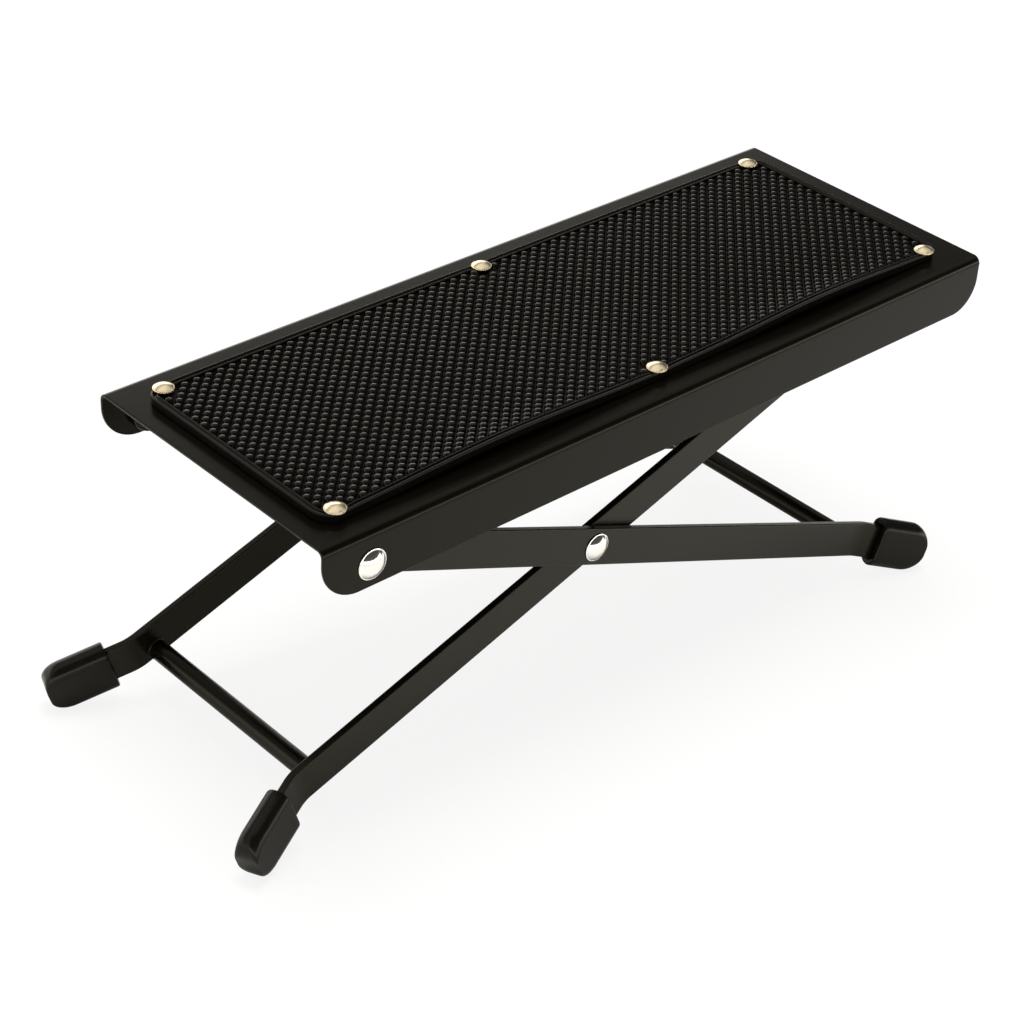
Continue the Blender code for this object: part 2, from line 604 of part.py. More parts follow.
# Cross rods and the latch bar
upright = (math.pi / 2, 0, 0)
turned("outer_cross_rod", rod_profile(outer_inner_face - SEAT_GAP), ROD_STEPS, pieces, outer_line,
       (OUTER_ROD_FROM_CROSS, 0, 0), upright, black_coat)
inner_rod = rod_profile(inner_inner_face - SEAT_GAP)
turned("inner_cross_rod", inner_rod, ROD_STEPS, pieces, cross_axis,
       (-INNER_ROD_FROM_CROSS, 0, -INNER_ROD_DROP), upright, black_coat)
turned("latch_bar", inner_rod, ROD_STEPS, pieces, cross_axis, (PIVOT_TO_CROSS, 0, 0), upright, black_coat)

# Stand the footrest on its four caps: turn the tread's frame until the lowest points at both ends are level,
# then put the middle of the whole over the origin
bpy.context.view_layer.update()
graph = bpy.context.evaluated_depsgraph_get()
corners = {}
for piece in pieces.objects:
    if piece.type == "MESH":
        solid = piece.evaluated_get(graph)
        corners[piece.name] = [solid.matrix_world @ vertex.co for vertex in solid.data.vertices]
pivot_end = [co for name, found in corners.items() if name.startswith("inner_foot_cap") for co in found]
latch_end = [co for name, found in corners.items() if name.startswith("outer_foot_cap") for co in found]
tilt = 0
for _ in range(LEVELLING_ROUNDS):
    low_pivot = min(pivot_end, key=lambda co: co.x * math.sin(tilt) + co.z * math.cos(tilt))
    low_latch = min(latch_end, key=lambda co: co.x * math.sin(tilt) + co.z * math.cos(tilt))
    tilt = math.atan2(low_pivot.z - low_latch.z, low_latch.x - low_pivot.x)
level = Matrix.Rotation(-tilt, 4, "Y")
turned_corners = [level @ co for found in corners.values() for co in found]
reach_x = [co.x for co in turned_corners]
tread_frame.rotation_euler = (0, -tilt, 0)
tread_frame.location = (-(min(reach_x) + max(reach_x)) / 2, 0, -min(co.z for co in turned_corners))
bpy.context.view_layer.update()
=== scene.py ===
"""Look of a folding footrest for a seated guitarist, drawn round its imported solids.

A folded steel tread with a riveted mat of pimpled rubber stands on two crossing pairs of flat steel legs with
rubber feet. Every section below is one piece or one group of like pieces, in the order of assembly. Lengths
are in metres. The tread and the two pairs of legs are each drawn in a frame of their own, with x along the
piece, y across the footrest and z square to the piece, and are then placed on their hinge.
"""

import json
import math

import bmesh
import bpy
import numpy as np
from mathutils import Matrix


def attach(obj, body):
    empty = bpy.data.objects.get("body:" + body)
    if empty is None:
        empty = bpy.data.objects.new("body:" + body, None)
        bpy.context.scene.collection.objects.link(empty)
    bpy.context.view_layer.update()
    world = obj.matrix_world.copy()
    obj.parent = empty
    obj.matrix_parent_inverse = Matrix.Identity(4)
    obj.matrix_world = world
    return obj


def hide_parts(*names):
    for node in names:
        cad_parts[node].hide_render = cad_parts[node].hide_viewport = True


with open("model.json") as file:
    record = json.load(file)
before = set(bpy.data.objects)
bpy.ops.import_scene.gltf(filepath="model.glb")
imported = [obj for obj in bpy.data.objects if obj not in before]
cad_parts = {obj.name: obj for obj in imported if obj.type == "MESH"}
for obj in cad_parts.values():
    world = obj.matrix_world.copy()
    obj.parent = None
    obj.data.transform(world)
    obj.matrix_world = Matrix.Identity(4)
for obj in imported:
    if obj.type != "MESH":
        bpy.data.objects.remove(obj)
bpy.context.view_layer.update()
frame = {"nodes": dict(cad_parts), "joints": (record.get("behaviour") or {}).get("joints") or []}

# Tread. One sheet of 1 mm steel, folded down along both long sides and open at both ends, with the lower
# corners of its flanges cut round. It is drilled for the rivets, then powder coated in satin black.
TREAD_LENGTH = 0.265
TREAD_HALF_WIDTH = 0.0502
SHEET = 0.001
FOLD_RADIUS = 0.0025
FOLD_STEPS = 16
FLANGE_DEPTH = 0.0177
PIVOT_END_ROUND = 0.0125
LATCH_END_ROUND = 0.0102
FLANGE_CORNER_STEPS = 24
TREAD_EDGE = 0.00028
TRIM_SPARE = 0.003
CUTTER_REACH = 0.06
FLANGE_HINGE_FROM_END = 0.0164
FLANGE_HINGE_BELOW_TOP = 0.01045
FLANGE_HINGE_TO_CROSS = 0.0991
HINGE_HOLE_RADIUS = 0.0028
MERGE_DISTANCE = 1e-7
OUTER_SLOPE = math.radians(22.45)
COAT_COLOUR = (0.0026, 0.0022, 0.0013)
COAT_TINT = (1.0, 0.92, 0.68)
# Lighter edge colour of the coat and the mask that places it: partly wear, partly a painted highlight along
# the edges
COAT_WEAR_AND_EDGE_SHEEN = (0.022, 0.0205, 0.0175)
CLOUD_RANGE = (0.3, 0.7)
WEAR_AND_SHEEN_WIDTH = 0.0006
WEAR_AND_SHEEN_LEAN = (0.985, 0.85)
WEAR_AND_SHEEN_CLOUD = (0.38, 0.60)
WEAR_AND_SHEEN_LEAST = 0.25

joint_points = {joint["name"]: np.array(joint["pos_m"]) for joint in frame["joints"]}
flange_hinge = joint_points["flange_hinge"]
cross_hinge = joint_points["cross_hinge"]
hinge_run = cross_hinge - flange_hinge
hinge_line_slope = -math.atan2(-hinge_run[2], hinge_run[0])
tread_rise = OUTER_SLOPE + hinge_line_slope


def gathered(*parts):
    """Coordinates given apart, spread over one grid and gathered into points."""
    return np.stack(np.broadcast_arrays(*parts), axis=-1)


def placed(points, rise, hinge, start=(0, 0, 0)):
    """Own frame to row frame: the start goes to the hinge, and x climbs by the rise.

    x' = x cos(rise) - z sin(rise) and z' = x sin(rise) + z cos(rise), plus the hinge.
    """
    x, y, z = np.moveaxis(np.asarray(points, float) - np.asarray(start, float), -1, 0)
    along = x * math.cos(rise) - z * math.sin(rise)
    up = x * math.sin(rise) + z * math.cos(rise)
    return gathered(along, y, up) + hinge


def on_tread(points):
    """Tread frame to row frame, with the flange hinge as the point that both share."""
    return placed(points, tread_rise, flange_hinge, (FLANGE_HINGE_FROM_END, 0, -FLANGE_HINGE_BELOW_TOP))


def quads(rows, count, loop=False):
    """Corner numbers of the cells of a grid: a point, the next in its row, and the two below these."""
    index = np.arange(rows * count).reshape(rows, count)
    beside = np.roll(index, -1, axis=1)
    cells = np.stack([index[:-1], beside[:-1], beside[1:], index[1:]], axis=-1)
    return (cells if loop else cells[:, :-1]).reshape(-1, 4)


def as_piece(name, mesh):
    """Object of a mesh, shaded smooth and put into the scene."""
    mesh.shade_smooth()
    piece = bpy.data.objects.new(name, mesh)
    bpy.context.scene.collection.objects.link(piece)
    return piece


def skin(name, grid, loop=False, filled=False):
    """Surface over a grid of points, one quad for each cell of grid[row, point].

    A loop joins the last point of each row to its first. Filled puts one face in the first row and one in
    the last. Points that coincide are merged, which closes seams and poles, and faces are turned outwards.
    """
    rows, count = grid.shape[:2]
    faces = quads(rows, count, loop).tolist()
    if filled:
        faces += [list(range(count)), list(range((rows - 1) * count, rows * count))]
    mesh = bpy.data.meshes.new(name)
    mesh.from_pydata(grid.reshape(-1, 3), [], faces)
    closed = bmesh.new()
    closed.from_mesh(mesh)
    bmesh.ops.remove_doubles(closed, verts=closed.verts, dist=MERGE_DISTANCE)
    bmesh.ops.recalc_face_normals(closed, faces=closed.faces)
    closed.to_mesh(mesh)
    closed.free()
    return as_piece(name, mesh)


def turned(name, profile, centre, direction, steps=48, filled=False):
    """Profile of (radius, height) carried round a line.

    Point = centre + height * direction + radius * (side * cos(a) + other * sin(a)).
    """
    direction = np.asarray(direction, float)
    side = np.cross(direction, (0.0, 1.0, 0.0) if abs(direction[1]) < 0.9 else (1.0, 0.0, 0.0))
    side /= np.linalg.norm(side)
    other = np.cross(direction, side)
    radius, height = np.asarray(profile, float).T
    turn = np.arange(steps) * (2 * math.pi / steps)
    ring = side * np.cos(turn)[:, None] + other * np.sin(turn)[:, None]
    grid = centre + height[:, None, None] * direction + radius[:, None, None] * ring
    return skin(name, grid, loop=True, filled=filled)


def drill(name, centre, reach):
    """Bar of the hinge hole's radius across the footrest, two equal circles at the reach from its centre."""
    ends = [(HINGE_HOLE_RADIUS, -reach), (HINGE_HOLE_RADIUS, reach)]
    return turned(name, ends, centre, (0, 1, 0), filled=True)


def shaped(piece, cutters, operation="DIFFERENCE"):
    """The piece with its modifiers applied and the cutters taken out of it, or only their inside kept."""
    for cutter in cutters:
        change = piece.modifiers.new(cutter.name, "BOOLEAN")
        change.operation = operation
        change.solver = "EXACT"
        change.object = cutter
    graph = bpy.context.evaluated_depsgraph_get()
    mesh = bpy.data.meshes.new_from_object(piece.evaluated_get(graph))
    piece.modifiers.clear()
    piece.data = mesh
    for cutter in cutters:
        bpy.data.objects.remove(cutter)
    mesh.shade_smooth()
    return piece


def eased(piece, width, steps=3, sharp=40):
    """Small round on every edge sharper than the angle, with the broad faces keeping their own shading."""
    edge = piece.modifiers.new("eased_edges", "BEVEL")
    edge.width = width
    edge.segments = steps
    edge.limit_method = "ANGLE"
    edge.angle_limit = math.radians(sharp)
    edge.harden_normals = True
    return piece


def even(piece):
    """Shading weighted by face area, so that flat faces look flat right up to their rounded edges."""
    shading = piece.modifiers.new("even_shading", "WEIGHTED_NORMAL")
    shading.weight = 100
    shading.keep_sharp = True
    return piece


def node(tree, kind, values, sources):
    """Node of a kind with its plain values set and its inputs, by name or number, joined to the sources."""
    made = tree.nodes.new(kind)
    for name, value in values.items():
        if name in made.inputs:
            made.inputs[name].default_value = value
        else:
            setattr(made, name, value)
    for name, source in sources.items():
        tree.links.new(source, made.inputs[name])
    return made


def mixed(tree, share, first, second, kind="RGBA"):
    """Result of first * (1 - share) + second * share, where first and second are sockets or plain values."""
    mix = node(tree, "ShaderNodeMix", {"data_type": kind}, {"Factor": share})
    for name, end in (("A", first), ("B", second)):
        if isinstance(end, bpy.types.NodeSocket):
            tree.links.new(end, mix.inputs[name])
        else:
            mix.inputs[name].default_value = end
    return mix.outputs["Result"]


def ranged(tree, source, before, after=(0.0, 1.0), kind="LINEAR"):
    """Result that runs from one end of after to the other while the source runs through before."""
    values = {"interpolation_type": kind, "From Min": before[0], "From Max": before[1],
              "To Min": after[0], "To Max": after[1]}
    return node(tree, "ShaderNodeMapRange", values, {"Value": source}).outputs["Result"]


def surface(name, colour, roughness, metallic=0.0, index=1.5, tint=(1.0, 1.0, 1.0), drift=0.02, spread=0.15,
            grain=0.0004, depth=0.00001, peel=0.0, wear_and_sheen=None):
    """Material whose colour and roughness drift by the spread over the drift length, with a fine grain.

    Depth is the height of the grain, and peel that of a second, four times coarser relief. Wear and sheen is
    (colour, roughness, share) of the edges: a lighter edge that is partly wear and partly a painted
    highlight.
    Its share is broken up by the drift cloud and falls off over the wear-and-sheen width.
    """
    material = bpy.data.materials.new(name)
    material.use_nodes = True
    tree = material.node_tree
    shader = tree.nodes["Principled BSDF"]
    shader.inputs["Metallic"].default_value = metallic
    shader.inputs["IOR"].default_value = index
    shader.inputs["Specular Tint"].default_value = (*tint, 1)
    place = {"Vector": tree.nodes.new("ShaderNodeTexCoord").outputs["Object"]}
    cloud = node(tree, "ShaderNodeTexNoise", {"Scale": 1 / drift, "Detail": 5}, place).outputs["Fac"]
    fine = node(tree, "ShaderNodeTexNoise", {"Scale": 1 / grain, "Detail": 2}, place).outputs["Fac"]
    darker = (*(part * (1 - spread) for part in colour), 1)
    lighter = (*(min(1, part * (1 + spread)) for part in colour), 1)
    hue = mixed(tree, cloud, darker, lighter)
    smoother = roughness * (1 - spread / 2)
    rougher = roughness * (1 + spread / 2)
    gloss = ranged(tree, cloud, CLOUD_RANGE, (smoother, rougher))
    # Lighter, smoother edges: wear, and on the coats partly a painted highlight along the edges
    if wear_and_sheen:
        soft = node(tree, "ShaderNodeBevel", {"samples": 4, "Radius": WEAR_AND_SHEEN_WIDTH}, {}).outputs["Normal"]
        flat = tree.nodes.new("ShaderNodeNewGeometry").outputs["Normal"]
        lean = node(tree, "ShaderNodeVectorMath", {"operation": "DOT_PRODUCT"}, {0: soft, 1: flat})
        edge = ranged(tree, lean.outputs["Value"], WEAR_AND_SHEEN_LEAN, (0.0, wear_and_sheen[2]))
        patch = ranged(tree, cloud, WEAR_AND_SHEEN_CLOUD, (WEAR_AND_SHEEN_LEAST, 1.0))
        product = node(tree, "ShaderNodeMath", {"operation": "MULTIPLY"}, {0: edge, 1: patch})
        share = product.outputs["Value"]
        hue = mixed(tree, share, hue, (*wear_and_sheen[0], 1))
        gloss = mixed(tree, share, gloss, wear_and_sheen[1], "FLOAT")
    tree.links.new(hue, shader.inputs["Base Color"])
    tree.links.new(gloss, shader.inputs["Roughness"])
    relief = node(tree, "ShaderNodeBump", {"Distance": depth}, {"Height": fine})
    if peel:
        broad = node(tree, "ShaderNodeTexNoise", {"Scale": 0.25 / grain, "Detail": 1}, place).outputs["Fac"]
        under = node(tree, "ShaderNodeBump", {"Distance": peel}, {"Height": broad})
        tree.links.new(under.outputs["Normal"], relief.inputs["Normal"])
    tree.links.new(relief.outputs["Normal"], shader.inputs["Normal"])
    return material


def fitted(piece, body, finish, nodes=()):
    """The piece gets its finish, rides on its body and stands for the named solids."""
    piece.data.materials.clear()
    piece.data.materials.append(finish)
    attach(piece, body)
    if nodes:
        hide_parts(*nodes)
    return piece


# The coat's edges are lightened: partly wear, partly a painted highlight along them
black_coat = surface("black_powder_coat", COAT_COLOUR, roughness=0.20, index=1.24, tint=COAT_TINT, drift=0.03,
                     spread=0.12, grain=0.0006, depth=0.000004, peel=0.000012, wear_and_sheen=(COAT_WEAR_AND_EDGE_SHEEN, 0.18, 0.4))

# The section is a flat top between two quarter-round folds and two flanges, deeper than the finished ones
fold = np.linspace(0, math.pi / 2, FOLD_STEPS + 1)
fold_y = TREAD_HALF_WIDTH - FOLD_RADIUS + FOLD_RADIUS * np.cos(fold)
fold_z = FOLD_RADIUS * (np.sin(fold) - 1)
half_y = np.concatenate([[TREAD_HALF_WIDTH], fold_y, [0.0]])
half_z = np.concatenate([[-FLANGE_DEPTH - TRIM_SPARE], fold_z, [0.0]])
section_y = np.concatenate([half_y, -half_y[-2::-1]])
section_z = np.concatenate([half_z, half_z[-2::-1]])
ends_x = np.array([-TRIM_SPARE, TREAD_LENGTH + TRIM_SPARE])[:, None]
tread = skin("tread_sheet", on_tread(gathered(ends_x, section_y, section_z)))
wall = tread.modifiers.new("sheet", "SOLIDIFY")
wall.thickness = SHEET
wall.offset = -1
wall.use_even_offset = True

# The flange ends are trimmed to the side view: a rectangle with two round lower corners
corner = np.linspace(0, math.pi / 2, FLANGE_CORNER_STEPS + 1)
pivot_x = PIVOT_END_ROUND * (1 - np.cos(corner))
pivot_z = -FLANGE_DEPTH + PIVOT_END_ROUND * (1 - np.sin(corner))
latch_x = TREAD_LENGTH - LATCH_END_ROUND * (1 - np.sin(corner))
latch_z = -FLANGE_DEPTH + LATCH_END_ROUND * (1 - np.cos(corner))
side_x = np.concatenate([pivot_x, latch_x, [TREAD_LENGTH, 0.0]])
side_y = np.array([-CUTTER_REACH, CUTTER_REACH])[:, None]
side_z = np.concatenate([pivot_z, latch_z, [TRIM_SPARE, TRIM_SPARE]])
side_view = skin("side_view", on_tread(gathered(side_x, side_y, side_z)), loop=True, filled=True)
shaped(tread, [side_view], "INTERSECT")
shaped(tread, [drill("hinge_drill", flange_hinge, CUTTER_REACH)])
even(eased(tread, TREAD_EDGE, sharp=50))
fitted(tread, "tread", black_coat, ["top_plate"])

# Rubber mat. A moulded sheet of black rubber with a double bead round its edge, 2.9 mm high. Only its rivets
# hold it, so the near edge has lifted in a long wave between them.
MAT_LEFT = 0.0070
MAT_RIGHT = 0.2552
MAT_NEAR = -0.04175
MAT_FAR = 0.03975
MAT_CORNER = 0.0060
MAT_CORNER_STEPS = 14
MAT_PITCH = 0.003
MAT_BASE = 0.00004
MAT_FLOOR = 0.0016
MAT_FLOOR_INSET = 0.0026
MAT_FLOOR_COLUMNS = 160
MAT_FLOOR_ROWS = 48
RIVET_X = (0.0127, 0.1311, 0.2495)
RIVET_Y = (-0.0393, 0.0373)
EDGE_LIFT = 0.0019
LIFT_SKEWS = (0.95, 1.27)
LIFT_REACH = 0.0075
PRESS = 0.16
PRESS_REACH = 0.0037
RUBBER_COLOUR = (0.0032, 0.0030, 0.0024)
RUBBER_TINT = (1.0, 0.97, 0.84)

rivet_spots = np.array([(x, y) for y in RIVET_Y for x in RIVET_X])


def settled(points, pressed=True):
    """Mat as it lies: the near edge lifts between rivets, and the rubber is pressed down under their heads.

    Lift = edge lift * sin^2(pi * (share of the way between rivets)^skew) * exp(-(distance / reach)^2).
    Press = share of the height * exp(-(distance from the rivet / press reach)^4).
    """
    x, y, z = np.moveaxis(points, -1, 0)
    share = np.clip((x - RIVET_X[0]) / (RIVET_X[1] - RIVET_X[0]), 0, 2)
    skewed = np.where(share < 1, share ** LIFT_SKEWS[0], np.maximum(share - 1, 0) ** LIFT_SKEWS[1])
    lift = EDGE_LIFT * np.sin(math.pi * skewed) ** 2 * np.exp(-((y - MAT_NEAR) / LIFT_REACH) ** 2)
    gap = np.linalg.norm(points[..., None, :2] - rivet_spots, axis=-1).min(axis=-1)
    press = PRESS * np.exp(-(gap / PRESS_REACH) ** 4) if pressed else 0.0
    return gathered(x, y, z * (1 - press) + lift)


def rounded_outline(left, right, near, far, radius):
    """Rectangle with round corners as (point, outward normal), counter-clockwise.

    Corner point = centre of the corner + radius * (cos(a), sin(a)), and evenly spaced points run straight
    from each corner to the next.
    """
    turn = np.linspace(0, math.pi / 2, MAT_CORNER_STEPS + 1)
    points = []
    normals = []
    for x, y, begin in ((right - radius, far - radius, 0), (left + radius, far - radius, 1),
                        (left + radius, near + radius, 2), (right - radius, near + radius, 3)):
        angle = turn + begin * math.pi / 2
        normal = gathered(np.cos(angle), np.sin(angle))
        arc = np.array([x, y]) + radius * normal
        points.append(arc)
        normals.append(normal)
        run = (right - left if begin in (0, 2) else far - near) - 2 * radius
        steps = np.arange(1, int(run / MAT_PITCH)) / int(run / MAT_PITCH)
        onward = np.array([-normal[-1][1], normal[-1][0]])
        points.append(arc[-1] + steps[:, None] * run * onward)
        normals.append(np.broadcast_to(normal[-1], (len(steps), 2)))
    return np.concatenate(points), np.concatenate(normals)


# The bead's section is (distance in from the edge, height above the tread) in millimetres
bead = np.array([(3.2, 0.04), (0.40, 0.04), (0.10, 0.14), (0.0, 0.45), (0.02, 1.5), (0.05, 2.45),
                 (0.12, 2.72), (0.28, 2.87), (0.45, 2.898), (0.62, 2.85), (0.74, 2.72), (0.81, 2.50),
                 (0.92, 2.32), (1.24, 2.25), (1.54, 2.32), (1.65, 2.50), (1.72, 2.70), (1.84, 2.82),
                 (2.00, 2.86), (2.14, 2.80), (2.22, 2.62), (2.26, 2.2), (2.30, 1.65), (2.7, 1.50),
                 (3.2, 1.45), (3.2, 0.04)]) / 1000
mat_rim, mat_outward = rounded_outline(MAT_LEFT, MAT_RIGHT, MAT_NEAR, MAT_FAR, MAT_CORNER)
bead_xy = mat_rim - bead[:, 0][:, None, None] * mat_outward
bead_grid = gathered(bead_xy[..., 0], bead_xy[..., 1], bead[:, 1][:, None])
mat_bead = skin("mat_bead", on_tread(settled(bead_grid)), loop=True)
round_over = mat_bead.modifiers.new("moulded", "SUBSURF")
round_over.levels = 1
round_over.render_levels = 1

# The floor inside the bead is a closed slab: each row goes across its top and back along its underside
floor_x = np.linspace(MAT_LEFT + MAT_FLOOR_INSET, MAT_RIGHT - MAT_FLOOR_INSET, MAT_FLOOR_COLUMNS)
floor_y = np.linspace(MAT_NEAR + MAT_FLOOR_INSET, MAT_FAR - MAT_FLOOR_INSET, MAT_FLOOR_ROWS)
floor_loop = np.concatenate([floor_y, floor_y[::-1]])
floor_height = np.repeat([MAT_FLOOR, MAT_BASE], MAT_FLOOR_ROWS)
floor_grid = gathered(floor_x[:, None], floor_loop, floor_height)
mat_floor = skin("mat_floor", on_tread(settled(floor_grid, pressed=False)), loop=True, filled=True)

# Pips. Steep round studs with blunt cone tops in 37 rows of 117 places, every second place filled in turn, so
# that each nearly touches the four beside it. They are moulded in one with the mat and end just below the top
# of its bead.
PIP_FIRST = (0.01070, -0.0380)
PIP_LAST = (0.25170, 0.0360)
PIP_COLUMNS = 117
PIP_ROWS = 37
PIP_SIDES = 10
PIP_CROWN = 0.00122
PIP_FROM_RIVET = 0.0041

columns, rows = np.meshgrid(np.linspace(PIP_FIRST[0], PIP_LAST[0], PIP_COLUMNS),
                            np.linspace(PIP_FIRST[1], PIP_LAST[1], PIP_ROWS), indexing="ij")
filled_places = np.indices(columns.shape).sum(axis=0) % 2 == 0
pip_xy = gathered(columns[filled_places], rows[filled_places])
from_rivet = np.linalg.norm(pip_xy[:, None] - rivet_spots, axis=-1).min(axis=-1)
pip_xy = pip_xy[from_rivet > PIP_FROM_RIVET]

# One pip is five rings, given as (radius, height above the floor) in millimetres, and a point on top
pip_profile = np.array([(1.40, -0.05), (1.16, 0.76), (0.95, 1.03), (0.82, 1.085), (0.12, 1.21)]) / 1000
turn = np.arange(PIP_SIDES) * (2 * math.pi / PIP_SIDES)
ring_x, ring_y = pip_profile[:, 0][:, None] * np.array([np.cos(turn), np.sin(turn)])[:, None]
rings = gathered(ring_x, ring_y, pip_profile[:, 1][:, None])
one_pip = np.concatenate([rings.reshape(-1, 3), [[0, 0, PIP_CROWN]]])
last_ring = np.arange(PIP_SIDES) + (len(pip_profile) - 1) * PIP_SIDES
pip_quads = quads(len(pip_profile), PIP_SIDES, loop=True)
pip_top = gathered(last_ring, np.roll(last_ring, -1), len(one_pip) - 1)
pip_base = gathered(pip_xy[:, 0], pip_xy[:, 1], MAT_FLOOR)
pip_points = (pip_base[:, None] + one_pip).reshape(-1, 3)
pip_offset = (np.arange(len(pip_xy)) * len(one_pip))[:, None, None]
pip_faces = (pip_quads + pip_offset).reshape(-1, 4).tolist()
pip_faces += (pip_top + pip_offset).reshape(-1, 3).tolist()
pip_mesh = bpy.data.meshes.new("mat_pips")
pip_mesh.from_pydata(on_tread(settled(pip_points, pressed=False)), [], pip_faces)
mat_pips = as_piece("mat_pips", pip_mesh)

mat_rubber = surface("moulded_mat_rubber", RUBBER_COLOUR, roughness=0.11, index=1.22, tint=RUBBER_TINT,
                     drift=0.012, spread=0.25, grain=0.0005, depth=0.000005)
dull_rubber = surface("moulded_mat_floor", RUBBER_COLOUR, roughness=0.5, index=1.12, drift=0.012, spread=0.25,
                      grain=0.0005, depth=0.000008)
fitted(mat_bead, "tread", mat_rubber, ["rubber_mat"])
fitted(mat_floor, "tread", dull_rubber)
fitted(mat_pips, "tread", mat_rubber)

# Mat rivets. Six semi-tubular rivets of pale brass-plated steel with low domed heads, set through the mat's
# edge and the tread, and rolled over under the sheet.
MAT_HEAD_RADIUS = 0.00318
MAT_HEAD_HEIGHT = 0.00157
MAT_HEAD_BASE = 0.0025
MAT_HEAD_LIP = 0.00060
MAT_HEAD_LIP_WIDTH = 0.00022
MAT_HEAD_CREASE = 0.00008
MAT_SHANK_RADIUS = 0.0009
MAT_TAIL_RADIUS = 0.0020
MAT_TAIL_HEIGHT = 0.0008
MAT_TAIL_GAP = 0.0003
RIVET_STEPS = 56
BRASS_COLOUR = (0.90, 0.75, 0.51)


def dome(radius, height, edge, steps=22):
    """Domed head as (radius, height) from its crown down: an arc of a sphere that ends in a small round edge.

    Sphere = (foot^2 + rise^2) / (2 * rise), with foot and rise the radius and height less the edge.
    """
    sphere = ((radius - edge) ** 2 + (height - edge) ** 2) / (2 * (height - edge))
    reach = math.asin((radius - edge) / sphere)
    angle = np.linspace(0, reach, steps)
    crown = gathered(sphere * np.sin(angle), height - sphere * (1 - np.cos(angle)))
    bend = np.linspace(math.pi / 2 - reach, -math.pi / 2, 9)[1:]
    rim = gathered(radius - edge + edge * np.cos(bend), edge + edge * np.sin(bend))
    return np.concatenate([crown, rim])


def stepped(radius, height, lip, width):
    """Head as (radius, height) from its crown down: a dome, a crease round its foot and an upright lip.

    The dome stands on the lip and ends at the lip's width from the edge. The lip is two arcs of 0.6 of its
    width with a straight wall between them.
    """
    inner = dome(radius - width, height - lip, MAT_HEAD_CREASE)[:-4] + (0, lip)
    crease = np.array([(radius - width, lip - MAT_HEAD_CREASE)])
    edge = 0.6 * width
    bend = np.radians(np.concatenate([np.linspace(110, 0, 6), np.linspace(0, -90, 4)]))
    middle = np.repeat([lip - edge, edge], [6, 4])
    rim = gathered(radius - edge + edge * np.cos(bend), middle + edge * np.sin(bend))
    return np.concatenate([inner, crease, rim])


def rivet(name, centre, outward, head, shank, grip, tail_radius, tail_height):
    """Rivet turned about its axis: domed head above the centre, shank through the grip, rounded tail below.

    The tail's lower edge is a quarter circle of 0.45 of its height.
    """
    bend = np.linspace(0, math.pi / 2, 5)
    soft = tail_height * 0.45
    end = -grip - tail_height
    tail = gathered(tail_radius - soft + soft * np.cos(bend), end + soft - soft * np.sin(bend))
    shoulders = [(shank, 0.0), (shank, -grip), (tail_radius, -grip)]
    return turned(name, np.concatenate([head, shoulders, tail, [(0.0, end)]]), centre, outward, RIVET_STEPS)


tread_up = np.array([-math.sin(tread_rise), 0.0, math.cos(tread_rise)])
pale_brass = surface("pale_brass_plating", BRASS_COLOUR, roughness=0.25, metallic=1.0, drift=0.003,
                     spread=0.16, grain=0.0004, depth=0.000004)
mat_head = stepped(MAT_HEAD_RADIUS, MAT_HEAD_HEIGHT, MAT_HEAD_LIP, MAT_HEAD_LIP_WIDTH)
mat_grip = MAT_HEAD_BASE + SHEET + MAT_TAIL_GAP
for side_name, y in zip(("near", "far"), RIVET_Y):
    for end_name, x in zip(("left", "middle", "right"), RIVET_X):
        name = "mat_rivet_%s_%s" % (side_name, end_name)
        piece = rivet("%s_head" % name, on_tread((x, y, MAT_HEAD_BASE)), tread_up, mat_head, MAT_SHANK_RADIUS,
                      mat_grip, MAT_TAIL_RADIUS, MAT_TAIL_HEIGHT)
        fitted(piece, "tread", pale_brass, [name])

# Height racks. Two pressed steel angles welded under the tread, with six notches for the latch bar. They are
# coated with the tread.
RACK_EDGE = 0.0002
RACK_MERGE_DISTANCE = 1e-6
RACK_FLATNESS = math.radians(1)

for side_name in ("near", "far"):
    rack_mesh = frame["nodes"]["height_rack_" + side_name].data.copy()
    merged = bmesh.new()
    merged.from_mesh(rack_mesh)
    bmesh.ops.remove_doubles(merged, verts=merged.verts, dist=RACK_MERGE_DISTANCE)
    bmesh.ops.dissolve_limit(merged, angle_limit=RACK_FLATNESS, verts=merged.verts, edges=merged.edges)
    merged.to_mesh(rack_mesh)
    merged.free()
    rack = as_piece("height_rack_%s_pressed" % side_name, rack_mesh)
    even(eased(rack, RACK_EDGE))
    fitted(rack, "tread", black_coat, ["height_rack_" + side_name])

# Hinge rivets. Two large domed rivets of bright plated steel that carry the outer legs on the flanges.
SIDES = (("near", -1), ("far", 1))
HINGE_HEAD_RADIUS = 0.0047
HINGE_HEAD_HEIGHT = 0.00238
HINGE_GRIP = 0.00402
HEAD_EDGE = 0.00025
HEAD_GAP = 0.00002
SHANK_RADIUS = 0.0025
TAIL_RADIUS = 0.0040
TAIL_HEIGHT = 0.0012
PLATING_COLOUR = (0.88, 0.86, 0.82)

bright_plating = surface("bright_plating", PLATING_COLOUR, roughness=0.11, metallic=1.0, drift=0.003,
                         spread=0.12, grain=0.0007, depth=0.000012)


def plated_rivet(solid, body, hinge, side, face, head, grip):
    """Bright rivet on a hinge that stands for a solid, its head a hair clear of the face that it holds."""
    centre = hinge + (0, side * (face + HEAD_GAP), 0)
    piece = rivet("%s_domed" % solid, centre, (0, side, 0), head, SHANK_RADIUS, grip, TAIL_RADIUS,
                  TAIL_HEIGHT)
    return fitted(piece, body, bright_plating, [solid])


hinge_head = dome(HINGE_HEAD_RADIUS, HINGE_HEAD_HEIGHT, HEAD_EDGE)
for side_name, side in SIDES:
    plated_rivet("pivot_rivet_" + side_name, "tread", flange_hinge, side, TREAD_HALF_WIDTH, hinge_head,
                 HINGE_GRIP)

